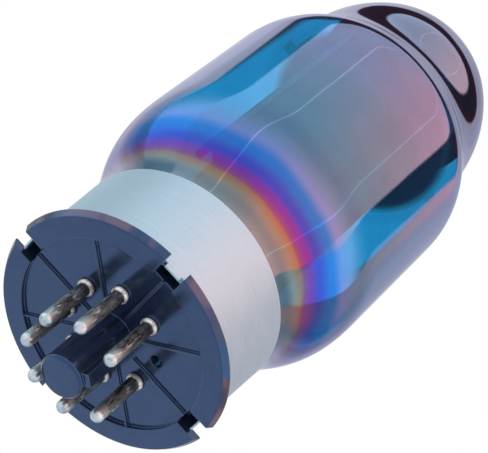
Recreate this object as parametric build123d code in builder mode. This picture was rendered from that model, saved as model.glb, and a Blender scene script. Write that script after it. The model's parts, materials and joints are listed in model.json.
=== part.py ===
"""Octal-base beam power vacuum tube: phenolic base, metal collar, glass bulb and the electrodes inside.

Frame: the base seats on its socket at z = 0, the pins point down, the tube axis is +Z up to the dome,
and the locating key of the spigot points to -Y.  All sizes are in millimetres.
"""

import os
from math import cos, radians, sin

from build123d import *

os.makedirs("parts", exist_ok=True)

# Base wafer: a thin flange with a shallow recess in its front, and a cup that the collar slides over
FLANGE_FRONT_R = 21.2
FLANGE_BACK_R = 22.1
FLANGE_T = 1.5
FLANGE_ROUNDING = 0.25
RECESS_R = 17.5
RECESS_DEPTH = 0.7
CUP_R = 19.5
CUP_WALL = 1.6
CUP_TOP = 5.0
WAFER_TOP = 2.7
RIB_WIDTH = 0.35
RIB_HEIGHT = 0.5
RIB_INNER_R = 5.2
NOTCH_WIDTH = 4.2
NOTCH_INNER_R = 17.3
NOTCH_DEPTH = 3.6

# Spigot with its locating key
SPIGOT_R = 3.95
SPIGOT_BORE_R = 2.7
SPIGOT_LENGTH = 13.2
SPIGOT_CHAMFER = 0.45
SPIGOT_FLOOR = 1.5
KEY_WIDTH = 2.35
KEY_REACH = 5.0
KEY_SETBACK = 0.9

# Octal pins: eight places, of which the first is left empty
PIN_CIRCLE_R = 17.45 / 2
PIN_PLACES = 8
PIN_FIRST_ANGLE = -67.5
PINS_FITTED = range(2, PIN_PLACES + 1)
PIN_R = 1.18
PIN_BORE_R = 0.8
PIN_LENGTH = 11.1
PIN_SHANK_R = 1.1
PIN_BEAD_R = 1.6
PIN_BEAD_T = 0.8
PIN_HOLE_R = 1.12
PIN_RIVET_R = 1.5
PIN_RIVET_TOP = 3.1
SOLDER_PLUG = 1.6

# Metal collar, slightly tapered, with four tongues that reach down into the notches of the flange
COLLAR_BOTTOM_R = 19.89
COLLAR_TOP_R = 20.46
COLLAR_WALL = 0.3
COLLAR_TOP = 18.96
TONGUE_WIDTH = 3.0
TONGUE_END = 0.6

# Glass bulb: neck inside the collar, flare, straight side, shoulder and dome
GLASS_WALL = 1.1
NECK_R = 19.2
NECK_BOTTOM = 7.5
NECK_TOP = 14.0
BULB_R = 26.15
SIDE_BOTTOM = 42.0
SIDE_TOP = 70.0
BULB_TOP = 110.0
FLARE_POINTS = [(19.85, 18.9), (20.6, 23.2), (22.3, 27.3), (24.45, 31.5), (25.7, 35.6)]
SHOULDER_POINTS = [(25.35, 75.3), (22.8, 81.3), (21.3, 87.3), (20.3, 93.3), (18.4, 99.3), (15.0, 105.0)]
CROWN_POINT = (8.8, 108.8)
CEMENT_BOTTOM = 8.5
CEMENT_TOP = 17.9

# Glass stem: a flared foot with the press that carries the lead-in wires, and the sealed exhaust tube
STEM_FOOT_R = 18.1
STEM_SHOULDER_R = 13.9
STEM_WALL = 1.2
STEM_SHOULDER_TOP = 14.5
PRESS_LENGTH = 26.0
PRESS_WIDTH = 6.0
PRESS_TOP = 27.0
EXHAUST_R = 2.2
EXHAUST_WALL = 0.8
EXHAUST_END = -9.0

# Lead-in wires, from the pin tips up through the press, in their order along it
LEAD_R = 0.35
LEAD_BOTTOM = -10.0
LEAD_KNEE = 5.5
LEAD_ENTRY = 13.0
LEAD_TOP = 28.5
LEAD_BEND = 2.0
LEAD_PITCH = 3.5
LEAD_OF_PIN = {3: 3, 2: 2, 4: 1, 5: -1, 8: -2, 7: -3}
TIE_BEND = 0.38
TIE_RISE = 29.3
TIE_OVER = 30.2
TIE_SIDE = 4.5

# Micas that space the electrodes
MICA_T = 0.4
MICA_BOTTOM_Z = 33.0
MICA_TOP_Z = 83.0
MICA_BOTTOM_R = 21.0
MICA_TOP_R = 19.2
SPUR_WIDTH = 2.4
MICA_BOTTOM_REACH = 23.4
MICA_TOP_REACH = 20.7

# Anode: two pressed halves, flanged together, with a cooling fin each, on two support rods
ANODE_X = 13.5
ANODE_Y = 7.6
ANODE_WALL = 0.35
ANODE_BOTTOM = 34.6
ANODE_TOP = 81.4
ANODE_FLANGE = 3.6
ANODE_FIN = 4.0
ANODE_ROD_R = 0.8
ANODE_ROD_X = ANODE_X + ANODE_FLANGE + ANODE_ROD_R
ANODE_ROD_BOTTOM = 30.5
ROD_TOP = 85.0

# Beam plates, grids and cathode
BEAM_X = 11.2
BEAM_Y = 5.4
BEAM_WALL = 0.25
BEAM_OPENING = 9.0
SCREEN_X = 8.2
SCREEN_Y = 3.4
SCREEN_ROD_R = 0.6
CONTROL_X = 5.6
CONTROL_Y = 2.3
CONTROL_ROD_R = 0.5
CONTROL_ROD_TOP = 90.8
GRID_ROD_BOTTOM = 31.5
GRID_WIRE = 0.18
GRID_PITCH = 1.4
GRID_TURNS = 31
GRID_START = 36.5
RADIATOR_T = 0.3
RADIATOR_WIDTH = 9.0
RADIATOR_BOTTOM = 85.2
RADIATOR_TOP = 90.2
RADIATOR_SLEEVE_R = 0.8
CATHODE_X = 4.0
CATHODE_Y = 1.2
CATHODE_WALL = 0.15
CATHODE_BOTTOM = 31.8
CATHODE_TOP = 84.6
HEATER_R = 0.28
HEATER_LEG_X = [-3.0, -1.8, -0.6, 0.6, 1.8, 3.0]
HEATER_BOTTOM = 32.0
HEATER_FOLD = 36.0
HEATER_TOP = 84.0
HEATER_BEND = 0.5

# Getter rings above the upper mica, and the film that they left inside the dome
GETTER_RING_R = 4.2
GETTER_TUBE_R = 0.5
GETTER_X = 11.0
GETTER_Z = 92.0
GETTER_POST_R = 0.4
FILM_T = 0.12
FILM_BOTTOM = 98.0


def save(piece, name):
    """Label a finished piece and write it under its node name."""
    piece.part.label = name
    export_step(piece.part, f"parts/{name}.step")


def pin_place(number):
    """Centre of an octal pin place, numbered from the key."""
    angle = radians(PIN_FIRST_ANGLE + (number - 1) * 360 / PIN_PLACES)
    return (PIN_CIRCLE_R * cos(angle), PIN_CIRCLE_R * sin(angle))


def collar_radius(height, inset=0.0):
    """Outer radius of the tapered collar at a height, moved inwards by inset."""
    share = (height - FLANGE_T) / (COLLAR_TOP - FLANGE_T)
    return COLLAR_BOTTOM_R + share * (COLLAR_TOP_R - COLLAR_BOTTOM_R) - inset


def bulb_body(inset):
    """Solid with the bulb's outer shape, moved inwards by inset on every side."""
    with BuildPart() as body:
        with BuildSketch(Plane.XZ):
            with BuildLine():
                Line((0, NECK_BOTTOM), (NECK_R, NECK_BOTTOM))
                Line((NECK_R, NECK_BOTTOM), (NECK_R, NECK_TOP))
                Spline((NECK_R, NECK_TOP), *FLARE_POINTS, (BULB_R, SIDE_BOTTOM), tangents=[(0, 1), (0, 1)])
                Line((BULB_R, SIDE_BOTTOM), (BULB_R, SIDE_TOP))
                Spline((BULB_R, SIDE_TOP), *SHOULDER_POINTS, CROWN_POINT, (0, BULB_TOP),
                       tangents=[(0, 1), (-1, 0)])
                Line((0, BULB_TOP), (0, NECK_BOTTOM))
            make_face()
        revolve(axis=Axis.Z)
        if inset:
            offset(amount=-inset)
    return body.part


def bent_wire(points, radius, bend):
    """Round wire along straight runs joined by arcs."""
    with BuildPart() as wire:
        with BuildLine():
            FilletPolyline(*points, radius=bend)
        with BuildSketch(Plane(origin=points[0], z_dir=Vector(points[1]) - Vector(points[0]))):
            Circle(radius)
        sweep()
    return wire


# ---- Base wafer with spigot and key, moulded in one piece

with BuildPart() as base_wafer:
    with BuildSketch(Plane.XY.offset(RECESS_DEPTH)):
        Circle(SPIGOT_R)
    extrude(amount=-(SPIGOT_LENGTH + RECESS_DEPTH))
    chamfer(base_wafer.faces().sort_by(Axis.Z)[0].edges(), SPIGOT_CHAMFER)
    with BuildSketch(Plane.XY.offset(KEY_SETBACK - SPIGOT_LENGTH)):
        with Locations((0, -KEY_REACH / 2)):
            Rectangle(KEY_WIDTH, KEY_REACH)
    extrude(amount=SPIGOT_LENGTH - KEY_SETBACK + RECESS_DEPTH)
    with BuildSketch(Plane.XZ) as wafer_section:
        with BuildLine():
            Polyline(
                (0, RECESS_DEPTH),
                (RECESS_R, RECESS_DEPTH),
                (RECESS_R, 0),
                (FLANGE_FRONT_R, 0),
                (FLANGE_BACK_R, FLANGE_T),
                (CUP_R, FLANGE_T),
                (CUP_R, CUP_TOP),
                (CUP_R - CUP_WALL, CUP_TOP),
                (CUP_R - CUP_WALL, WAFER_TOP),
                (0, WAFER_TOP),
                close=True,
            )
        make_face()
        fillet(wafer_section.vertices().sort_by(Axis.X)[-2:], FLANGE_ROUNDING)
    revolve(axis=Axis.Z)
    with BuildSketch(Plane.XY.offset(RECESS_DEPTH - RIB_HEIGHT)):
        with PolarLocations((RIB_INNER_R + RECESS_R) / 2, PIN_PLACES, start_angle=-90):
            Rectangle(RECESS_R - RIB_INNER_R, RIB_WIDTH)
    extrude(amount=RIB_HEIGHT)
    with BuildSketch(Plane.XY):
        with PolarLocations((NOTCH_INNER_R + FLANGE_BACK_R + 1) / 2, 4, start_angle=-45):
            Rectangle(FLANGE_BACK_R + 1 - NOTCH_INNER_R, NOTCH_WIDTH)
    extrude(amount=NOTCH_DEPTH, mode=Mode.SUBTRACT)
    with BuildSketch(Plane.XY):
        with PolarLocations(PIN_CIRCLE_R, PIN_PLACES, start_angle=PIN_FIRST_ANGLE):
            Circle(PIN_HOLE_R)
    extrude(amount=WAFER_TOP, mode=Mode.SUBTRACT)
    with BuildSketch(Plane.XY.offset(SPIGOT_FLOOR - SPIGOT_LENGTH)):
        Circle(SPIGOT_BORE_R)
    extrude(amount=SPIGOT_LENGTH - SPIGOT_FLOOR + WAFER_TOP, mode=Mode.SUBTRACT)
save(base_wafer, "base_wafer")

# ---- Pins: hollow, with a bead that seats in the recess and an end riveted over inside the cup

for number in PINS_FITTED:
    x, y = pin_place(number)
    with BuildPart() as pin:
        with BuildSketch(Plane(origin=(x, y, 0), x_dir=(1, 0, 0), z_dir=(0, -1, 0))):
            with BuildLine():
                Polyline(
                    (PIN_BORE_R, PIN_R - PIN_LENGTH),
                    (PIN_R, PIN_R - PIN_LENGTH),
                    (PIN_R, RECESS_DEPTH - PIN_BEAD_T),
                    (PIN_BEAD_R - 0.25, RECESS_DEPTH - PIN_BEAD_T),
                )
                RadiusArc(
                    (PIN_BEAD_R - 0.25, RECESS_DEPTH - PIN_BEAD_T),
                    (PIN_BEAD_R - 0.25, RECESS_DEPTH),
                    -PIN_BEAD_T / 2 - 0.1,
                )
                Polyline(
                    (PIN_BEAD_R - 0.25, RECESS_DEPTH),
                    (PIN_SHANK_R, RECESS_DEPTH),
                    (PIN_SHANK_R, WAFER_TOP),
                    (PIN_RIVET_R, WAFER_TOP),
                    (PIN_RIVET_R, PIN_RIVET_TOP),
                    (PIN_BORE_R, PIN_RIVET_TOP),
                    (PIN_BORE_R, PIN_R - PIN_LENGTH),
                )
            make_face()
        revolve(axis=Axis((x, y, 0), (0, 0, 1)))
    save(pin, f"pin_{number}")

# ---- Lead-in wires, each from its pin tip up through the press

leads = {}
for number, step in LEAD_OF_PIN.items():
    x, y = pin_place(number)
    press_x = step * LEAD_PITCH
    leads[number] = bent_wire(
        [(x, y, LEAD_BOTTOM), (x, y, LEAD_KNEE), (press_x, 0, LEAD_ENTRY), (press_x, 0, LEAD_TOP)],
        LEAD_R,
        LEAD_BEND,
    )
    save(leads[number], f"lead_wire_{number}")

# ---- Solder that closes the pin tips around the wires

with BuildPart() as pin_solder:
    with Locations(*[(*pin_place(number), PIN_R - PIN_LENGTH) for number in PINS_FITTED]):
        Sphere(PIN_R, arc_size1=-90, arc_size2=0, align=(Align.CENTER, Align.CENTER, Align.MAX))
        Cylinder(PIN_BORE_R, SOLDER_PLUG, align=(Align.CENTER, Align.CENTER, Align.MIN))
    for lead in leads.values():
        add(lead.part, mode=Mode.SUBTRACT)
save(pin_solder, "pin_solder")

# ---- Glass bulb, one blown shell that is open at the neck

with BuildPart() as glass_envelope:
    add(bulb_body(0))
    add(bulb_body(GLASS_WALL), mode=Mode.SUBTRACT)
    with BuildSketch(Plane.XY.offset(NECK_BOTTOM)):
        Circle(NECK_R - GLASS_WALL)
    extrude(amount=GLASS_WALL * 2, mode=Mode.SUBTRACT)
save(glass_envelope, "glass_envelope")

# ---- Metal collar with its four tongues

with BuildPart() as base_collar:
    with BuildSketch(Plane.XZ):
        with BuildLine():
            Polyline(
                (collar_radius(TONGUE_END), TONGUE_END),
                (collar_radius(COLLAR_TOP), COLLAR_TOP),
                (collar_radius(COLLAR_TOP, COLLAR_WALL), COLLAR_TOP),
                (collar_radius(TONGUE_END, COLLAR_WALL), TONGUE_END),
                close=True,
            )
        make_face()
    revolve(axis=Axis.Z)
    with BuildSketch(Plane.XY.offset(TONGUE_END)):
        Circle(FLANGE_BACK_R)
        with PolarLocations(CUP_R, 4, start_angle=-45):
            Rectangle(CUP_R / 2, TONGUE_WIDTH, mode=Mode.SUBTRACT)
    extrude(amount=FLANGE_T - TONGUE_END, mode=Mode.SUBTRACT)
save(base_collar, "base_collar")

# ---- Cement between the collar and the neck

with BuildPart() as cement_ring:
    with BuildSketch(Plane.XZ):
        with BuildLine():
            Polyline(
                (NECK_R - GLASS_WALL / 2, CEMENT_BOTTOM),
                (collar_radius(CEMENT_BOTTOM, COLLAR_WALL), CEMENT_BOTTOM),
                (collar_radius(CEMENT_TOP, COLLAR_WALL), CEMENT_TOP),
                (NECK_R - GLASS_WALL / 2, CEMENT_TOP),
                close=True,
            )
        make_face()
    revolve(axis=Axis.Z)
    add(bulb_body(0), mode=Mode.SUBTRACT)
save(cement_ring, "cement_ring")

# ---- Glass stem with its press

with BuildPart() as glass_stem:
    with BuildSketch(Plane.XZ):
        with BuildLine():
            Polyline(
                (STEM_FOOT_R - STEM_WALL, NECK_BOTTOM),
                (STEM_FOOT_R, NECK_BOTTOM),
                (STEM_SHOULDER_R, STEM_SHOULDER_TOP),
                (0, STEM_SHOULDER_TOP),
                (0, STEM_SHOULDER_TOP - STEM_WALL),
                (STEM_SHOULDER_R - STEM_WALL, STEM_SHOULDER_TOP - STEM_WALL),
                close=True,
            )
        make_face()
    revolve(axis=Axis.Z)
    with BuildSketch(Plane.XY.offset(STEM_SHOULDER_TOP)):
        RectangleRounded(PRESS_LENGTH, PRESS_WIDTH, PRESS_WIDTH / 2 - 0.1)
    extrude(amount=PRESS_TOP - STEM_SHOULDER_TOP)
    for lead in leads.values():
        add(lead.part, mode=Mode.SUBTRACT)
save(glass_stem, "glass_stem")

# ---- Exhaust tube, sealed to a point inside the spigot

with BuildPart() as exhaust_tube:
    with BuildSketch(Plane.XZ):
        with BuildLine():
            Polyline(
                (0, EXHAUST_END - EXHAUST_R),
                (EXHAUST_R, EXHAUST_END),
                (EXHAUST_R, STEM_SHOULDER_TOP - STEM_WALL),
                (EXHAUST_R - EXHAUST_WALL, STEM_SHOULDER_TOP - STEM_WALL),
                (EXHAUST_R - EXHAUST_WALL, EXHAUST_END),
                (0, EXHAUST_END),
                close=True,
            )
        make_face()
    revolve(axis=Axis.Z)
save(exhaust_tube, "exhaust_tube")

# ---- Grids: two side rods each, with the turns of fine wire across them

grids = {}
for name, half_x, half_y, rod_r, rod_top in (
    ("screen_grid", SCREEN_X, SCREEN_Y, SCREEN_ROD_R, ROD_TOP),
    ("control_grid", CONTROL_X, CONTROL_Y, CONTROL_ROD_R, CONTROL_ROD_TOP),
):
    with BuildPart() as grid:
        with BuildSketch(Plane.XY.offset(GRID_ROD_BOTTOM)):
            with Locations((-half_x, 0), (half_x, 0)):
                Circle(rod_r)
        extrude(amount=rod_top - GRID_ROD_BOTTOM)
        for turn in range(GRID_TURNS):
            with BuildSketch(Plane.XY.offset(GRID_START + turn * GRID_PITCH)):
                Ellipse(half_x + GRID_WIRE / 2, half_y + GRID_WIRE / 2)
                Ellipse(half_x - GRID_WIRE / 2, half_y - GRID_WIRE / 2, mode=Mode.SUBTRACT)
            extrude(amount=GRID_WIRE)
    grids[name] = grid
    save(grid, name)

# ---- Cathode sleeve and the heater folded inside it

with BuildPart() as cathode_sleeve:
    with BuildSketch(Plane.XY.offset(CATHODE_BOTTOM)):
        Ellipse(CATHODE_X, CATHODE_Y)
        Ellipse(CATHODE_X - CATHODE_WALL, CATHODE_Y - CATHODE_WALL, mode=Mode.SUBTRACT)
    extrude(amount=CATHODE_TOP - CATHODE_BOTTOM)
save(cathode_sleeve, "cathode_sleeve")

heater_route = [(HEATER_LEG_X[0], 0, HEATER_BOTTOM)]
for index, leg_x in enumerate(HEATER_LEG_X):
    fold_here, fold_next = (HEATER_FOLD, HEATER_TOP) if index % 2 else (HEATER_TOP, HEATER_FOLD)
    if index:
        heater_route.append((leg_x, 0, fold_next))
    if index < len(HEATER_LEG_X) - 1:
        heater_route.append((leg_x, 0, fold_here))
heater_route.append((HEATER_LEG_X[-1], 0, HEATER_BOTTOM))
heater = bent_wire(heater_route, HEATER_R, HEATER_BEND)
save(heater, "heater")

# ---- Beam plates, curved around the ends of the screen grid

for name, side in (("beam_plate_left", -1), ("beam_plate_right", 1)):
    with BuildPart() as beam_plate:
        with BuildSketch(Plane.XY.offset(MICA_BOTTOM_Z + MICA_T)):
            Ellipse(BEAM_X, BEAM_Y)
            Ellipse(BEAM_X - BEAM_WALL, BEAM_Y - BEAM_WALL, mode=Mode.SUBTRACT)
            with Locations((side * (BEAM_OPENING / 2 - BEAM_X), 0)):
                Rectangle(2 * BEAM_X, 3 * BEAM_Y, mode=Mode.SUBTRACT)
        extrude(amount=MICA_TOP_Z - MICA_BOTTOM_Z - MICA_T)
    save(beam_plate, name)

# ---- Anode halves with flanges and fins, and the rods that hold them

for name, side in (("anode_front", -1), ("anode_back", 1)):
    with BuildPart() as anode:
        with BuildSketch(Plane.XY.offset(ANODE_BOTTOM)):
            Ellipse(ANODE_X, ANODE_Y)
            with Locations((0, side * (ANODE_Y + ANODE_FIN / 2 - ANODE_WALL))):
                Rectangle(ANODE_WALL, ANODE_FIN)
            Ellipse(ANODE_X - ANODE_WALL, ANODE_Y - ANODE_WALL, mode=Mode.SUBTRACT)
            with Locations((0, -side * 2 * ANODE_Y)):
                Rectangle(3 * ANODE_X, 4 * ANODE_Y, mode=Mode.SUBTRACT)
            with Locations(*[(end * (ANODE_X + ANODE_FLANGE / 2 - ANODE_WALL / 4), side * ANODE_WALL / 2)
                             for end in (-1, 1)]):
                Rectangle(ANODE_FLANGE + ANODE_WALL / 2, ANODE_WALL)
        extrude(amount=ANODE_TOP - ANODE_BOTTOM)
    save(anode, name)

for name, side in (("anode_rod_left", -1), ("anode_rod_right", 1)):
    with BuildPart() as anode_rod:
        with BuildSketch(Plane.XY.offset(ANODE_ROD_BOTTOM)):
            with Locations((side * ANODE_ROD_X, 0)):
                Circle(ANODE_ROD_R)
        extrude(amount=ROD_TOP - ANODE_ROD_BOTTOM)
    save(anode_rod, name)

# ---- Micas, pierced for the rods and the cathode, with spurs that steady them in the bulb

for name, height, radius, reach in (
    ("mica_bottom", MICA_BOTTOM_Z, MICA_BOTTOM_R, MICA_BOTTOM_REACH),
    ("mica_top", MICA_TOP_Z, MICA_TOP_R, MICA_TOP_REACH),
):
    with BuildPart() as mica:
        with BuildSketch(Plane.XY.offset(height)):
            Circle(radius)
            with PolarLocations(0, 4, start_angle=45):
                with Locations((reach / 2, 0)):
                    Rectangle(reach, SPUR_WIDTH)
            Ellipse(CATHODE_X, CATHODE_Y, mode=Mode.SUBTRACT)
            with Locations((-ANODE_ROD_X, 0), (ANODE_ROD_X, 0)):
                Circle(ANODE_ROD_R, mode=Mode.SUBTRACT)
            with Locations((-SCREEN_X, 0), (SCREEN_X, 0)):
                Circle(SCREEN_ROD_R, mode=Mode.SUBTRACT)
            with Locations((-CONTROL_X, 0), (CONTROL_X, 0)):
                Circle(CONTROL_ROD_R, mode=Mode.SUBTRACT)
        extrude(amount=MICA_T)
    save(mica, name)

# ---- Radiator fins that cool the control grid's rods above the upper mica

for name, side in (("grid_radiator_left", -1), ("grid_radiator_right", 1)):
    with BuildPart() as radiator:
        with BuildSketch(Plane.XY.offset(RADIATOR_BOTTOM)):
            with Locations((side * CONTROL_X, 0)):
                Circle(RADIATOR_SLEEVE_R)
                Rectangle(RADIATOR_T, RADIATOR_WIDTH)
                Circle(CONTROL_ROD_R, mode=Mode.SUBTRACT)
        extrude(amount=RADIATOR_TOP - RADIATOR_BOTTOM)
    save(radiator, name)

# ---- Nickel ties from the lead wires to the electrodes

tie_routes = {
    "anode_tie": [
        (3 * LEAD_PITCH, 0, LEAD_TOP),
        (3 * LEAD_PITCH, 0, TIE_RISE),
        (ANODE_ROD_X, 0, TIE_RISE),
        (ANODE_ROD_X, 0, ANODE_ROD_BOTTOM),
    ],
    "heater_tie_right": [
        (2 * LEAD_PITCH, 0, LEAD_TOP),
        (2 * LEAD_PITCH, 0, TIE_OVER),
        (HEATER_LEG_X[-1], 0, TIE_OVER),
        (HEATER_LEG_X[-1], 0, HEATER_BOTTOM),
    ],
    "heater_tie_left": [
        (-3 * LEAD_PITCH, 0, LEAD_TOP),
        (-3 * LEAD_PITCH, 0, TIE_OVER),
        (HEATER_LEG_X[0], 0, TIE_OVER),
        (HEATER_LEG_X[0], 0, HEATER_BOTTOM),
    ],
    "screen_tie": [
        (LEAD_PITCH, 0, LEAD_TOP),
        (LEAD_PITCH, 0, TIE_RISE),
        (LEAD_PITCH, -TIE_SIDE, TIE_RISE),
        (SCREEN_X, -TIE_SIDE, TIE_RISE),
        (SCREEN_X, 0, TIE_RISE),
        (SCREEN_X, 0, GRID_ROD_BOTTOM),
    ],
    "control_tie": [
        (-LEAD_PITCH, 0, LEAD_TOP),
        (-LEAD_PITCH, 0, TIE_RISE),
        (-LEAD_PITCH, -TIE_SIDE, TIE_RISE),
        (-CONTROL_X, -TIE_SIDE, TIE_RISE),
        (-CONTROL_X, -TIE_SIDE, HEATER_BOTTOM),
        (-CONTROL_X, -CONTROL_ROD_R, HEATER_BOTTOM),
    ],
    "cathode_tie": [
        (-2 * LEAD_PITCH, 0, LEAD_TOP),
        (-2 * LEAD_PITCH, 0, TIE_RISE),
        (-2 * LEAD_PITCH, TIE_SIDE, TIE_RISE),
        (0, TIE_SIDE, TIE_RISE),
        (0, TIE_SIDE, HEATER_BOTTOM + LEAD_R),
        (0, CATHODE_Y, HEATER_BOTTOM + LEAD_R),
    ],
}
for name, route in tie_routes.items():
    save(bent_wire(route, LEAD_R, TIE_BEND), name)

# ---- Getter rings on their posts

for name, side in (("left", -1), ("right", 1)):
    with BuildPart() as getter_ring:
        with Locations((side * GETTER_X, 0, GETTER_Z)):
            Torus(GETTER_RING_R, GETTER_TUBE_R)
    save(getter_ring, f"getter_ring_{name}")
    with BuildPart() as getter_post:
        with BuildSketch(Plane.XY.offset(MICA_TOP_Z + MICA_T)):
            with Locations((side * (GETTER_X + GETTER_RING_R), 0)):
                Circle(GETTER_POST_R)
        extrude(amount=GETTER_Z - GETTER_TUBE_R - MICA_TOP_Z - MICA_T)
    save(getter_post, f"getter_post_{name}")

# ---- Getter film on the inside of the dome

with BuildPart() as getter_film:
    add(bulb_body(GLASS_WALL))
    add(bulb_body(GLASS_WALL + FILM_T), mode=Mode.SUBTRACT)
    with BuildSketch(Plane.XY.offset(FILM_BOTTOM)):
        Circle(BULB_R)
    extrude(amount=BULB_TOP - FILM_BOTTOM, mode=Mode.INTERSECT)
save(getter_film, "getter_film")
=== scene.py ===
import json
import math

import bmesh
import bpy
import numpy as np
from mathutils import Matrix, Vector


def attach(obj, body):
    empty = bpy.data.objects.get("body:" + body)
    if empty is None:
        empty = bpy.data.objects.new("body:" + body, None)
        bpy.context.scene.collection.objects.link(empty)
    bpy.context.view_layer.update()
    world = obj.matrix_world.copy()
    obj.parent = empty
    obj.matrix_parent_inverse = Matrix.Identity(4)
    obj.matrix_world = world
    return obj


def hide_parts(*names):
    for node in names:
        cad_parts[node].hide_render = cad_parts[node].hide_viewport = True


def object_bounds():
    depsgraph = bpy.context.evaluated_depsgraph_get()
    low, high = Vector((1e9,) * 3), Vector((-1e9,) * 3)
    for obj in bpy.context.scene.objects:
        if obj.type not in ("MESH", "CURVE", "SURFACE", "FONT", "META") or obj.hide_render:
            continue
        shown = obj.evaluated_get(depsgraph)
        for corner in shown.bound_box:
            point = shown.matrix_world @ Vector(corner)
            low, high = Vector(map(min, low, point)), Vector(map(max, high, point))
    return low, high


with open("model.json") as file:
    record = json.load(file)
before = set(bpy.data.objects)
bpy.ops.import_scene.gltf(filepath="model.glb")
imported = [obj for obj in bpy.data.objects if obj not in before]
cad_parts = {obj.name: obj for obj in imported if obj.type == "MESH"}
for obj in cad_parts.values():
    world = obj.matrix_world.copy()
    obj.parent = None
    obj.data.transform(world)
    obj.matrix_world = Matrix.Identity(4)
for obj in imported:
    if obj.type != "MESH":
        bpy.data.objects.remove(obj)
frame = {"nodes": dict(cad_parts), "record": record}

CAD_BOX = [list(corner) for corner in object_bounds()]
MM = 0.001

# The vacuum tube stands on its spigot, dome up, with the locating key towards -Y.
# The camera looks up at the base from below, with the tube leaning away to the right.
CAMERA_PLACE = Vector((-0.14824, -0.16596, -0.19299))
CAMERA_AIM = Vector((0.00050, -0.00045, 0.04001))
CAMERA_ROLL = 49.488
LENS = 135.96
SENSOR = 36.0

# Outline of the bulb in mm: a straight side with a flare below it and a shoulder above it (radius, height).
# The side is 0.01 mm inside the CAD's, so that the round shell stays within the box of the faceted one.
NECK_RADIUS = 19.2
NECK_BOTTOM = 7.5
NECK_TOP = 14.0
FLARE = [(19.85, 18.9), (20.6, 23.2), (22.3, 27.3), (24.45, 31.5), (25.7, 35.6)]
BULB_RADIUS = 26.14
SIDE_BOTTOM = 42.0
SIDE_TOP = 70.0
SHOULDER = [(25.35, 75.3), (22.8, 81.3), (21.3, 87.3), (20.3, 93.3), (18.4, 99.3), (15.0, 105.0)]
CROWN = (8.8, 108.8)
BULB_TOP = 110.0
GLASS_WALL = 1.1

# How finely the bulb is turned: points for each span of a curve, along each straight, and around
CURVE_STEPS = 10
NECK_STEPS = 8
SIDE_STEPS = 24
AROUND = 256

# The coating's colour at heights in metres, from the collar up
BANDS = [
    (0.0190, (0.19, 0.21, 0.22)),
    (0.0215, (0.15, 0.16, 0.165)),
    (0.0232, (0.21, 0.17, 0.13)),
    (0.0243, (0.26, 0.13, 0.07)),
    (0.0252, (0.19, 0.05, 0.14)),
    (0.0263, (0.16, 0.03, 0.24)),
    (0.0278, (0.05, 0.05, 0.34)),
    (0.0303, (0.03, 0.13, 0.40)),
    (0.0325, (0.16, 0.20, 0.40)),
    (0.0350, (0.15, 0.23, 0.34)),
    (0.0420, (0.19, 0.31, 0.40)),
    (0.0540, (0.27, 0.33, 0.43)),
    (0.0640, (0.36, 0.34, 0.50)),
    (0.0740, (0.43, 0.36, 0.50)),
    (0.0820, (0.22, 0.225, 0.28)),
    (0.1100, (0.23, 0.235, 0.29)),
]
BANDS_FROM = 0.015
BANDS_TO = 0.110

# The coating lets least light through near the collar, over the dome and along one side of the bulb.
# Ranges are heights in metres. The thick side's azimuth is in degrees and its half widths in radians.
COLLAR_FADE = (0.030, 0.038)
DOME_FADE = (0.079, 0.086)
COLLAR_COVER = 0.88
SIDE_COVER = 0.45
DOME_COVER = 0.80
THICK_AZIMUTH = -74.0
THICK_FADE = (0.20, 0.27)
THICK_COVER = 0.92
FAR_SIDE_COVER = 0.25
INNER_COVER = 0.04

# Towards the bulb's edges the coating closes up, and its colour turns pale as a painted sheen at grazing
# angles. Ranges run from 0, seen square on, to 1.
PAINTED_SHEEN_TURN = (0.56, 0.82)
CLOSED_TURN = (0.64, 0.70)

# Places on the base and the electrodes, in metres
FLANGE_RIM = (0.02122, 0.0214)
PIN_TIP = (-0.0095, -0.0075)
PIN_STEM = (-0.0030, -0.0012)
PIN_BEAD = (-0.00025, -0.0001)
DEPOSIT_EDGE = (0.0172, 0.0194)
BETWEEN_MICAS = (0.060, 0.070)
DEPOSIT_COVER = 0.92

# The studio around the tube: a wide soft light, a dark gap and a pale backdrop.  Directions are projected
# flat onto the floor, forwards being towards the light.  Each edge gives how far forwards it lies at a
# sideways reach of 0 to 1.  The azimuths of the light and of its seams are in degrees, and the seams'
# widths, the gap's rise and the warm patch's turn from the light and its widths are in radians.  The
# sides are sideways reaches, and the light from below fades over the upward part of the direction.
LIGHT_AZIMUTH = 215.7
LIGHT_EDGE = [(0.0, 0.10), (0.20, 0.085), (0.44, 0.075), (0.65, 0.245), (0.94, 0.353)]
GAP_EDGE = [(0.0, -0.04), (0.20, -0.12), (0.46, -0.245), (0.68, -0.138), (0.98, -0.20)]
EDGE_SOFTNESS = 0.02
SEAMS = (-26.5, 48.5)
SEAM_FADE = (0.004, 0.014)
SEAM_SHARE = 0.45
LIGHT_SIDES = (-0.39, 0.63)
BACKDROP_SIDES = (-0.5, 0.5)
GAP_RISE = (0.35, 0.80)
WARM_TURN = 1.9
WARM_FADE = (0.10, 0.35)
WARM_SHARE = 0.9
BELOW_FADE = (-0.45, -0.2)
LIGHT_LEFT = (1.15, 1.38, 1.55, 1.0)
LIGHT_RIGHT = (2.40, 1.50, 1.40, 1.0)
SEAM_LIGHT = (3.2, 3.3, 3.4, 1.0)
GAP_HIGH = (0.055, 0.035, 0.045, 1.0)
GAP_LOW = (1.10, 1.60, 1.85, 1.0)
BACKDROP_LEFT = (1.15, 1.15, 1.10, 1.0)
BACKDROP_RIGHT = (0.80, 0.82, 0.86, 1.0)
BACKDROP_WARM = (1.10, 0.68, 0.62, 1.0)
BELOW = (0.85, 0.98, 1.20, 1.0)
WHITE = (1.0, 1.0, 1.0, 1.0)

FLOOR_SIZE = 3.0


# ---- Node helpers

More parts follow.
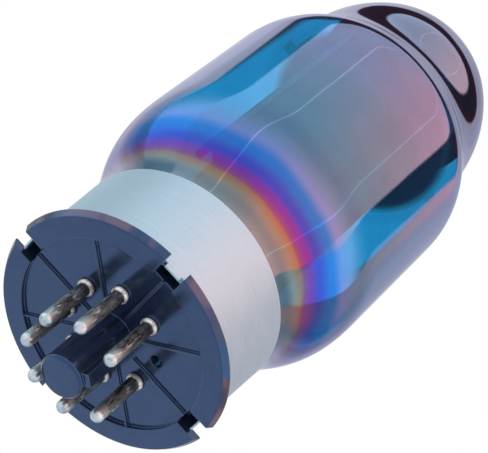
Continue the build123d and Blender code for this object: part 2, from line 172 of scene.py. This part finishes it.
def new_material(name):
    """A material with its node tree and its Principled shader."""
    material = bpy.data.materials.new(name)
    material.use_nodes = True
    tree = material.node_tree
    return material, tree, tree.nodes["Principled BSDF"]


def node(tree, kind, inputs=None, **settings):
    """A node of that kind with its settings, and with its inputs linked or set."""
    made = tree.nodes.new(kind)
    for name, value in settings.items():
        setattr(made, name, value)
    for name, value in (inputs or {}).items():
        feed(tree, value, made.inputs[name])
    return made


def feed(tree, value, socket):
    """Link a socket, or set the plain value that it takes."""
    if isinstance(value, bpy.types.NodeSocket):
        tree.links.new(value, socket)
    else:
        socket.default_value = value


def maths(tree, operation, *values, clamp=False):
    """One Math node's result."""
    made = node(tree, "ShaderNodeMath", operation=operation, use_clamp=clamp)
    for index, value in enumerate(values):
        feed(tree, value, made.inputs[index])
    return made.outputs[0]


def blend_colour(tree, share, first, second, mode="MIX"):
    """The two colours mixed by share."""
    made = node(tree, "ShaderNodeMix", data_type="RGBA", blend_type=mode)
    feed(tree, share, made.inputs[0])
    feed(tree, first, made.inputs[6])
    feed(tree, second, made.inputs[7])
    return made.outputs[2]


def stretch(tree, value, low, high, to_low, to_high, smooth=False):
    """A value mapped from one range to another, kept within it."""
    made = node(tree, "ShaderNodeMapRange", interpolation_type="SMOOTHSTEP" if smooth else "LINEAR")
    for name, given in (("Value", value), ("From Min", low), ("From Max", high),
                        ("To Min", to_low), ("To Max", to_high)):
        feed(tree, given, made.inputs[name])
    return made.outputs[0]


def ramp(tree, value, stops, ease="EASE"):
    """A colour ramp with stops of (position, colour)."""
    made = node(tree, "ShaderNodeValToRGB", {"Fac": value})
    made.color_ramp.interpolation = ease
    elements = made.color_ramp.elements
    while len(elements) < len(stops):
        elements.new(0.5)
    for element, (position, colour) in zip(elements, stops):
        element.position = position
        element.color = (*colour, 1.0)
    return made.outputs["Color"]


def noise(tree, place, scale, detail=3.0, roughness=0.55):
    """Noise between about 0.3 and 0.7, in the scale of a metre."""
    made = node(tree, "ShaderNodeTexNoise",
                {"Vector": place, "Scale": scale, "Detail": detail, "Roughness": roughness})
    return made.outputs["Fac"]


def object_place(tree):
    """The point's place in the row frame, which is the own frame of every piece too."""
    return node(tree, "ShaderNodeTexCoord").outputs["Object"]


def split(tree, vector):
    """The vector's X, Y and Z."""
    return node(tree, "ShaderNodeSeparateXYZ", {"Vector": vector}).outputs


def apart(tree, first, second):
    """How far one value is from another."""
    return maths(tree, "ABSOLUTE", maths(tree, "SUBTRACT", first, second))


def bump(tree, height, strength, distance, normal=None):
    """A bumped normal, on top of another normal where one is given."""
    inputs = {"Height": height, "Strength": strength, "Distance": distance}
    if normal is not None:
        inputs["Normal"] = normal
    return node(tree, "ShaderNodeBump", inputs).outputs["Normal"]


def combine(tree, **parts):
    """A vector made from its X, Y and Z."""
    return node(tree, "ShaderNodeCombineXYZ", parts).outputs[0]


def length(tree, vector):
    """The vector's length."""
    return node(tree, "ShaderNodeVectorMath", {0: vector}, operation="LENGTH").outputs["Value"]


def drawn_along_z(tree, place, share):
    """The place with its Z scaled by share, which draws a pattern out along Z."""
    made = node(tree, "ShaderNodeVectorMath", {0: place, 1: (1.0, 1.0, share)}, operation="MULTIPLY")
    return made.outputs[0]


def show_mixed(tree, first, second, share):
    """Send a mix of two shaders to the output, from all the first at 0 to all the second at 1."""
    seen = node(tree, "ShaderNodeMixShader", {"Fac": share})
    feed(tree, first.outputs[0], seen.inputs[1])
    feed(tree, second.outputs[0], seen.inputs[2])
    feed(tree, seen.outputs[0], tree.nodes["Material Output"].inputs["Surface"])


# ---- Materials

def coated_glass():
    """Blue glass behind a bright interference coating, whose colour runs in bands above the collar and turns
    pale towards the bulb's edges as a painted sheen.
    """
    material, tree, coating = new_material("coated_glass")
    place = object_place(tree)
    parts = split(tree, place)
    waver = maths(tree, "MULTIPLY", maths(tree, "SUBTRACT", noise(tree, place, 45.0), 0.5), 0.003)
    height = maths(tree, "ADD", parts["Z"], waver)
    level = stretch(tree, height, BANDS_FROM, BANDS_TO, 0.0, 1.0)
    stops = [((z - BANDS_FROM) / (BANDS_TO - BANDS_FROM), band) for z, band in BANDS]
    colour = ramp(tree, level, stops)
    cloud = stretch(tree, noise(tree, place, 60.0, 4.0), 0.35, 0.65, 0.92, 1.06)
    colour = blend_colour(tree, 1.0, colour, cloud, "MULTIPLY")
    facing = node(tree, "ShaderNodeLayerWeight", {"Blend": 0.5}).outputs["Facing"]
    # Painted sheen: the colour turns pale lilac towards the edges, where the bulb is seen aslant.
    pale = stretch(tree, facing, *PAINTED_SHEEN_TURN, 0.0, 0.8, True)
    feed(tree, blend_colour(tree, pale, colour, (0.58, 0.55, 0.70, 1.0)), coating.inputs["Base Color"])
    coating.inputs["Metallic"].default_value = 1.0
    coating.inputs["Specular Tint"].default_value = (0.66, 0.66, 0.80, 1.0)
    feed(tree, stretch(tree, noise(tree, place, 900.0, 2.0), 0.3, 0.7, 0.03, 0.06),
         coating.inputs["Roughness"])
    feed(tree, bump(tree, noise(tree, place, 70.0, 1.0), 0.03, 0.002), coating.inputs["Normal"])
    leaving = node(tree, "ShaderNodeNewGeometry").outputs["Backfacing"]
    tint = blend_colour(tree, leaving, (0.06, 0.55, 1.0, 1.0), (0.35, 0.85, 1.0, 1.0))
    window = node(tree, "ShaderNodeBsdfTransparent", {"Color": tint})
    cover = stretch(tree, height, *COLLAR_FADE, COLLAR_COVER, SIDE_COVER, True)
    cover = maths(tree, "MAXIMUM", cover, stretch(tree, height, *DOME_FADE, 0.0, DOME_COVER, True))
    cover = maths(tree, "ADD", cover, stretch(tree, facing, *CLOSED_TURN, 0.0, 0.5, True), clamp=True)
    around = maths(tree, "ARCTAN2", parts["Y"], parts["X"])
    off = apart(tree, around, math.radians(THICK_AZIMUTH))
    cover = maths(tree, "MAXIMUM", cover, stretch(tree, off, *THICK_FADE, THICK_COVER, 0.0, True))
    cover = maths(tree, "MULTIPLY", cover, stretch(tree, leaving, 0.0, 1.0, 1.0, FAR_SIDE_COVER))
    show_mixed(tree, window, coating, cover)
    return material


def inner_wall():
    """The inside of the bulb's wall, which only lets light pass."""
    material, tree, gloss = new_material("inner_wall")
    place = object_place(tree)
    feed(tree, ramp(tree, noise(tree, place, 50.0), [(0.3, (0.5, 0.62, 0.72)), (0.7, (0.7, 0.8, 0.9))]),
         gloss.inputs["Base Color"])
    gloss.inputs["Roughness"].default_value = 0.1
    show_mixed(tree, node(tree, "ShaderNodeBsdfTransparent"), gloss, INNER_COVER)
    return material


def clear_glass():
    """Clear soda glass of the stem and the exhaust tube."""
    material, tree, gloss = new_material("clear_glass")
    place = object_place(tree)
    feed(tree, ramp(tree, noise(tree, place, 90.0), [(0.3, (0.80, 0.83, 0.85)), (0.7, (0.90, 0.93, 0.95))]),
         gloss.inputs["Base Color"])
    feed(tree, stretch(tree, noise(tree, place, 400.0), 0.3, 0.7, 0.03, 0.12), gloss.inputs["Roughness"])
    gloss.inputs["Transmission Weight"].default_value = 1.0
    feed(tree, bump(tree, noise(tree, place, 150.0), 0.15, 0.001), gloss.inputs["Normal"])
    return material


def black_phenolic():
    """Glossy black moulding powder with a fine mottle, a painted highlight along its edges and reddish
    patches of painted reflection on the flange's rim.
    """
    material, tree, shader = new_material("black_phenolic")
    place = object_place(tree)
    parts = split(tree, place)
    mottle = noise(tree, place, 500.0, 6.0, 0.65)
    flow = noise(tree, place, 70.0, 3.0)
    dark = ramp(tree, mottle, [(0.35, (0.006, 0.008, 0.014)), (0.65, (0.012, 0.016, 0.028))])
    colour = blend_colour(tree, stretch(tree, flow, 0.35, 0.7, 0.0, 0.6), dark, (0.016, 0.022, 0.040, 1.0))
    flat = combine(tree, X=parts["X"], Y=parts["Y"])
    # Painted reflection: reddish patches on the flange's rim.
    rim_reflection = maths(tree, "MULTIPLY", stretch(tree, length(tree, flat), *FLANGE_RIM, 0.0, 1.0),
                  stretch(tree, noise(tree, flat, 110.0, 2.0), 0.50, 0.58, 0.0, 1.0, True))
    colour = blend_colour(tree, rim_reflection, colour, (0.11, 0.055, 0.045, 1.0))
    edge = node(tree, "ShaderNodeBevel", {"Radius": 0.0003}, samples=6)
    plain = node(tree, "ShaderNodeNewGeometry").outputs["Normal"]
    agree = node(tree, "ShaderNodeVectorMath", {0: edge.outputs[0], 1: plain}, operation="DOT_PRODUCT")
    # Painted highlight: lighter blue-grey along the edges.
    edge_highlight = stretch(tree, agree.outputs["Value"], 0.98, 0.80, 0.0, 0.5)
    feed(tree, blend_colour(tree, edge_highlight, colour, (0.10, 0.13, 0.18, 1.0)), shader.inputs["Base Color"])
    feed(tree, stretch(tree, mottle, 0.3, 0.7, 0.10, 0.20), shader.inputs["Roughness"])
    shader.inputs["IOR"].default_value = 1.6
    shader.inputs["Specular IOR Level"].default_value = 1.0
    shader.inputs["Specular Tint"].default_value = (0.30, 0.49, 0.92, 1.0)
    feed(tree, bump(tree, flow, 0.12, 0.001, edge.outputs[0]), shader.inputs["Normal"])
    return material


def collar_aluminium():
    """Satin aluminium, brushed round the collar."""
    material, tree, shader = new_material("collar_aluminium")
    place = object_place(tree)
    parts = split(tree, place)
    turn = maths(tree, "ARCTAN2", parts["Y"], parts["X"])
    along = combine(tree, X=turn, Y=maths(tree, "MULTIPLY", parts["Z"], 2500.0))
    brush = noise(tree, along, 3.0, 4.0, 0.7)
    cloud = noise(tree, place, 120.0, 3.0)
    colour = ramp(tree, brush, [(0.3, (0.35, 0.44, 0.49)), (0.7, (0.45, 0.55, 0.60))])
    feed(tree, blend_colour(tree, stretch(tree, cloud, 0.4, 0.7, 0.0, 0.35), colour,
                            (0.41, 0.50, 0.56, 1.0)), shader.inputs["Base Color"])
    shader.inputs["Metallic"].default_value = 0.85
    feed(tree, stretch(tree, brush, 0.3, 0.7, 0.48, 0.62), shader.inputs["Roughness"])
    shader.inputs["Anisotropic"].default_value = 0.3
    feed(tree, bump(tree, brush, 0.10, 0.0001), shader.inputs["Normal"])
    return material


def dull_metal(name, dark, light, metallic, roughness, grain, bumps, streak=1.0):
    """Metal with a cloudy surface, drawn out along Z by streak."""
    material, tree, shader = new_material(name)
    place = object_place(tree)
    cloud = noise(tree, drawn_along_z(tree, place, 1.0 / streak), grain, 5.0, 0.65)
    feed(tree, ramp(tree, cloud, [(0.32, dark), (0.68, light)]), shader.inputs["Base Color"])
    shader.inputs["Metallic"].default_value = metallic
    feed(tree, stretch(tree, cloud, 0.3, 0.7, *roughness), shader.inputs["Roughness"])
    feed(tree, bump(tree, cloud, bumps, 0.0002), shader.inputs["Normal"])
    return material


def tinned_pin():
    """Tinned brass pins: darker towards the base, pale at the tips, and pale on the beads as a painted
    highlight.
    """
    material, tree, shader = new_material("tinned_pin")
    place = object_place(tree)
    parts = split(tree, place)
    drawn = drawn_along_z(tree, place, 0.3)
    stain = noise(tree, drawn, 650.0, 5.0, 0.7)
    fleck = noise(tree, drawn, 1900.0, 2.0)
    colour = ramp(tree, stain, [(0.38, (0.035, 0.032, 0.032)), (0.50, (0.19, 0.19, 0.17)),
                                (0.64, (0.52, 0.52, 0.47))])
    colour = blend_colour(tree, stretch(tree, fleck, 0.56, 0.66, 0.0, 0.7), colour, (0.86, 0.86, 0.80, 1.0))
    tip = stretch(tree, parts["Z"], *PIN_TIP, 0.6, 0.0, True)
    colour = blend_colour(tree, tip, colour, (0.60, 0.61, 0.57, 1.0))
    # Darker towards the base, just above the beads.
    stem = stretch(tree, parts["Z"], *PIN_STEM, 0.0, 0.6, True)
    colour = blend_colour(tree, stem, colour, (0.06, 0.05, 0.05, 1.0))
    # Painted highlight: the beads' pale ring stands in for the glints on them.
    bead = stretch(tree, parts["Z"], *PIN_BEAD, 0.0, 1.0)
    pale = ramp(tree, stain, [(0.38, (0.30, 0.28, 0.26)), (0.60, (0.92, 0.89, 0.82))])
    feed(tree, blend_colour(tree, bead, colour, pale), shader.inputs["Base Color"])
    feed(tree, stretch(tree, bead, 0.0, 1.0, 0.85, 0.35), shader.inputs["Metallic"])
    feed(tree, stretch(tree, stain, 0.35, 0.65, 0.55, 0.25), shader.inputs["Roughness"])
    feed(tree, bump(tree, stain, 0.4, 0.0002), shader.inputs["Normal"])
    return material


def powdery(name, dark, light, grain, bumps, roughness=(0.7, 0.95)):
    """A dull, dusty or fibrous surface."""
    material, tree, shader = new_material(name)
    place = object_place(tree)
    cloud = noise(tree, place, grain, 6.0, 0.7)
    feed(tree, ramp(tree, cloud, [(0.3, dark), (0.7, light)]), shader.inputs["Base Color"])
    feed(tree, stretch(tree, cloud, 0.3, 0.7, *roughness), shader.inputs["Roughness"])
    feed(tree, bump(tree, cloud, bumps, 0.0002), shader.inputs["Normal"])
    return material


def mica_sheet():
    """Thin clear mica with pale flakes, darkened by the getter's deposit in the middle of the upper one."""
    material, tree, shader = new_material("mica")
    place = object_place(tree)
    parts = split(tree, place)
    flakes = noise(tree, place, 260.0, 5.0, 0.7)
    radius = length(tree, combine(tree, X=parts["X"], Y=parts["Y"]))
    deposit = maths(tree, "MULTIPLY", stretch(tree, radius, *DEPOSIT_EDGE, 1.0, 0.0, True),
                    stretch(tree, parts["Z"], *BETWEEN_MICAS, 0.0, 1.0))
    pale = ramp(tree, flakes, [(0.35, (0.30, 0.26, 0.20)), (0.65, (0.46, 0.42, 0.34))])
    feed(tree, blend_colour(tree, deposit, pale, (0.030, 0.016, 0.020, 1.0)), shader.inputs["Base Color"])
    feed(tree, stretch(tree, flakes, 0.3, 0.7, 0.15, 0.45), shader.inputs["Roughness"])
    feed(tree, bump(tree, flakes, 0.2, 0.0001), shader.inputs["Normal"])
    window = node(tree, "ShaderNodeBsdfTransparent", {"Color": (0.95, 0.93, 0.90, 1.0)})
    cover = maths(tree, "MAXIMUM", stretch(tree, flakes, 0.3, 0.7, 0.03, 0.10),
                  maths(tree, "MULTIPLY", deposit, DEPOSIT_COVER))
    show_mixed(tree, window, shader, cover)
    return material


def make_materials():
    """One material for each slot of the record."""
    return {
        "coated_glass": coated_glass(),
        "clear_glass": clear_glass(),
        "black_phenolic": black_phenolic(),
        "collar_aluminium": collar_aluminium(),
        "mica": mica_sheet(),
        "base_cement": powdery("base_cement", (0.30, 0.20, 0.12), (0.48, 0.36, 0.24), 900.0, 0.6),
        "tinned_pin": tinned_pin(),
        "solder": dull_metal("solder", (0.36, 0.38, 0.37), (0.62, 0.64, 0.62), 0.9, (0.22, 0.45),
                             900.0, 0.4),
        "carbonised_metal": powdery("carbonised_metal", (0.018, 0.018, 0.02), (0.045, 0.045, 0.05),
                                    1400.0, 0.3),
        "bright_nickel": dull_metal("bright_nickel", (0.07, 0.066, 0.06), (0.13, 0.125, 0.115), 1.0,
                                    (0.2, 0.4), 500.0, 0.15, 5.0),
        "grid_wire": dull_metal("grid_wire", (0.45, 0.30, 0.16), (0.62, 0.46, 0.26), 1.0,
                                (0.25, 0.45), 800.0, 0.1),
        "cathode_coating": powdery("cathode_coating", (0.70, 0.70, 0.68), (0.82, 0.82, 0.80), 2000.0, 0.5),
        "heater_coating": powdery("heater_coating", (0.74, 0.74, 0.74), (0.86, 0.86, 0.86), 2500.0, 0.4),
        "getter_mirror": dull_metal("getter_mirror", (0.10, 0.09, 0.10), (0.26, 0.24, 0.25), 1.0,
                                    (0.08, 0.2), 120.0, 0.05),
    }


# ---- The bulb

def smooth_curve(points, start, end, steps):
    """A cubic spline through the points with given end slopes, as steps points for each span."""
    points = np.array(points, float)
    chord = np.linalg.norm(np.diff(points, axis=0), axis=1)
    count = len(points)
    system = np.zeros((count, count))
    known = np.zeros((count, 2))
    system[0, 0] = system[-1, -1] = 1.0
    known[0], known[-1] = start, end
    for i in range(1, count - 1):
        before, after = chord[i - 1], chord[i]
        step_in, step_out = points[i] - points[i - 1], points[i + 1] - points[i]
        system[i, i - 1:i + 2] = after, 2 * (before + after), before
        known[i] = 3 * (before * step_out / after + after * step_in / before)
    slopes = np.linalg.solve(system, known)
    made = []
    for i, span in enumerate(chord):
        for t in np.linspace(0.0, 1.0, steps, endpoint=False):
            made.append((2 * t**3 - 3 * t**2 + 1) * points[i] + (t**3 - 2 * t**2 + t) * span * slopes[i]
                        + (3 * t**2 - 2 * t**3) * points[i + 1] + (t**3 - t**2) * span * slopes[i + 1])
    return made


def straight(radius, bottom, top, steps):
    """Evenly spaced points up a straight side, without the one at its top."""
    return [np.array((radius, height)) for height in np.linspace(bottom, top, steps, endpoint=False)]


def bulb_outline():
    """The bulb's outer outline from the neck to the crown, as points of radius and height in mm."""
    up, inwards = (0.0, 1.0), (-1.0, 0.0)
    neck = straight(NECK_RADIUS, NECK_BOTTOM, NECK_TOP, NECK_STEPS)
    flare = smooth_curve([(NECK_RADIUS, NECK_TOP), *FLARE, (BULB_RADIUS, SIDE_BOTTOM)], up, up, CURVE_STEPS)
    side = straight(BULB_RADIUS, SIDE_BOTTOM, SIDE_TOP, SIDE_STEPS)
    shoulder = smooth_curve([(BULB_RADIUS, SIDE_TOP), *SHOULDER, CROWN, (0.0, BULB_TOP)], up, inwards,
                            CURVE_STEPS)
    return neck + flare + side + shoulder + [np.array((0.0, BULB_TOP))]


def lathe(name, outline):
    """A turned closed shell from an outline of (radius, height) in mm. A point on the axis is one vertex."""
    built = bmesh.new()
    angles = [2 * math.pi * i / AROUND for i in range(AROUND)]
    rings = []
    for radius, height in outline:
        reach, z = radius * MM, height * MM
        if radius < 1e-6:
            rings.append([built.verts.new((0, 0, z))])
        else:
            rings.append([built.verts.new((reach * math.cos(a), reach * math.sin(a), z)) for a in angles])
    for low, high in zip(rings, rings[1:] + rings[:1]):
        for i in range(AROUND):
            j = (i + 1) % AROUND
            corners = [low[i % len(low)], low[j % len(low)], high[j % len(high)], high[i % len(high)]]
            corners = list(dict.fromkeys(corners))
            if len(corners) > 2:
                built.faces.new(corners).smooth = True
    bmesh.ops.recalc_face_normals(built, faces=built.faces)
    mesh = bpy.data.meshes.new(name)
    built.to_mesh(mesh)
    built.free()
    piece = bpy.data.objects.new(name, mesh)
    bpy.context.scene.collection.objects.link(piece)
    return piece


def make_bulb(materials):
    """The blown bulb as a closed shell, with the coating on its outside only."""
    outer = np.array(bulb_outline())
    slope = np.gradient(outer, axis=0)
    slope /= np.linalg.norm(slope, axis=1)[:, None]
    inner = outer - GLASS_WALL * np.stack([slope[:, 1], -slope[:, 0]], axis=1)
    inner[-1, 0] = 0.0
    inner[:, 0] = np.maximum(inner[:, 0], 0.0)
    inner[0, 1] = NECK_BOTTOM
    bulb = lathe("bulb", [*outer, *inner[::-1]])
    bulb.data.materials.append(materials["coated_glass"])
    bulb.data.materials.append(inner_wall())
    for face in bulb.data.polygons:
        outwards = face.normal.x * face.center.x + face.normal.y * face.center.y
        upwards = face.normal.z * (face.center.z - SIDE_TOP * MM)
        face.material_index = 0 if outwards + max(upwards, 0.0) > 0 else 1
    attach(bulb, "root")
    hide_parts("glass_envelope")


# ---- Stage, light and camera

def make_world():
    """A pale studio: a wide soft light in front of the tube, a dark gap around it, and a pale backdrop.

    Reflections and clear glass see it. The camera and the dull surfaces see plain white.
    """
    world = bpy.data.worlds.new("studio")
    bpy.context.scene.world = world
    world.use_nodes = True
    tree = world.node_tree
    direction = node(tree, "ShaderNodeTexCoord").outputs["Generated"]
    to_light = {"Vector": direction, "Angle": math.radians(-LIGHT_AZIMUTH)}
    turned = node(tree, "ShaderNodeVectorRotate", to_light, rotation_type="Z_AXIS").outputs[0]
    parts = split(tree, turned)
    up = parts["Z"]
    turn = maths(tree, "ARCTAN2", parts["Y"], parts["X"])
    rise = maths(tree, "ARCSINE", up)

    light_side = stretch(tree, parts["Y"], *LIGHT_SIDES, 0.0, 1.0, True)
    light = blend_colour(tree, light_side, LIGHT_LEFT, LIGHT_RIGHT)
    for seam in SEAMS:
        line = stretch(tree, apart(tree, turn, math.radians(seam)), *SEAM_FADE, SEAM_SHARE, 0.0, True)
        light = blend_colour(tree, line, light, SEAM_LIGHT)

    low_gap = stretch(tree, rise, *GAP_RISE, 1.0, 0.0, True)
    gap = blend_colour(tree, low_gap, GAP_HIGH, GAP_LOW)
    folds = noise(tree, combine(tree, X=parts["X"], Y=parts["Y"], Z=maths(tree, "MULTIPLY", up, 0.3)), 3.0)
    backdrop = ramp(tree, folds, [(0.35, (0.62, 0.64, 0.66)), (0.65, (0.82, 0.84, 0.86))])
    backdrop_side = stretch(tree, parts["Y"], *BACKDROP_SIDES, 0.0, 1.0)
    side_tint = blend_colour(tree, backdrop_side, BACKDROP_LEFT, BACKDROP_RIGHT)
    backdrop = blend_colour(tree, 1.0, backdrop, side_tint, "MULTIPLY")
    warm = stretch(tree, apart(tree, turn, WARM_TURN), *WARM_FADE, WARM_SHARE, 0.0, True)
    backdrop = blend_colour(tree, warm, backdrop, BACKDROP_WARM)
    sideways = maths(tree, "ABSOLUTE", parts["Y"])

    def in_front(edge):
        """One in front of the edge, and nothing behind it."""
        stops = [(reach, (forwards + 0.5,) * 3) for reach, forwards in edge]
        line = maths(tree, "SUBTRACT", ramp(tree, sideways, stops, "CARDINAL"), 0.5)
        past = maths(tree, "SUBTRACT", parts["X"], line)
        return stretch(tree, past, -EDGE_SOFTNESS, EDGE_SOFTNESS, 0.0, 1.0, True)

    colour = blend_colour(tree, in_front(GAP_EDGE), backdrop, gap)
    colour = blend_colour(tree, in_front(LIGHT_EDGE), colour, light)
    below = stretch(tree, up, *BELOW_FADE, 1.0, 0.0, True)
    colour = blend_colour(tree, below, colour, BELOW)
    path = node(tree, "ShaderNodeLightPath").outputs
    plain = maths(tree, "MAXIMUM", path["Is Camera Ray"], path["Is Diffuse Ray"])
    colour = blend_colour(tree, plain, colour, WHITE)
    feed(tree, colour, tree.nodes["Background"].inputs["Color"])


def make_floor(lowest):
    """A plain pale floor that shows only from above, and that keeps no light from the base."""
    mesh = bpy.data.meshes.new("floor")
    corners = [(-1, -1), (1, -1), (1, 1), (-1, 1)]
    mesh.from_pydata([(x * FLOOR_SIZE, y * FLOOR_SIZE, lowest) for x, y in corners], [], [(0, 1, 2, 3)])
    floor = bpy.data.objects.new("floor", mesh)
    bpy.context.scene.collection.objects.link(floor)
    material, tree, shader = new_material("floor")
    place = object_place(tree)
    feed(tree, ramp(tree, noise(tree, place, 8.0), [(0.3, (0.78, 0.78, 0.79)), (0.7, (0.82, 0.82, 0.83))]),
         shader.inputs["Base Color"])
    shader.inputs["Roughness"].default_value = 0.6
    under = node(tree, "ShaderNodeNewGeometry").outputs["Backfacing"]
    show_mixed(tree, shader, node(tree, "ShaderNodeBsdfTransparent"), under)
    mesh.materials.append(material)
    floor.visible_shadow = False
    floor.visible_glossy = False
    floor.visible_diffuse = False
    floor.visible_transmission = False


def make_camera():
    """The camera at the photograph's viewing angle."""
    view = CAMERA_AIM - CAMERA_PLACE
    camera = bpy.data.objects.new("camera", bpy.data.cameras.new("camera"))
    bpy.context.scene.collection.objects.link(camera)
    camera.data.lens = LENS
    camera.data.sensor_width = SENSOR
    camera.data.clip_start = 0.01
    roll = Matrix.Rotation(math.radians(CAMERA_ROLL), 4, "Z")
    facing = view.to_track_quat("-Z", "Y").to_matrix().to_4x4()
    camera.matrix_world = Matrix.Translation(CAMERA_PLACE) @ facing @ roll
    bpy.context.scene.camera = camera


def dress_nodes(materials):
    """Give each CAD node the material of its slot in the record."""
    for part in frame["record"]["subparts"]:
        thing = frame["nodes"][part["node"]]
        thing.data.materials.clear()
        thing.data.materials.append(materials[part["material_slot"]])


make_camera()
make_world()
make_floor(CAD_BOX[0][2])
surfaces = make_materials()
dress_nodes(surfaces)
make_bulb(surfaces)
bpy.context.scene.view_settings.view_transform = "Standard"
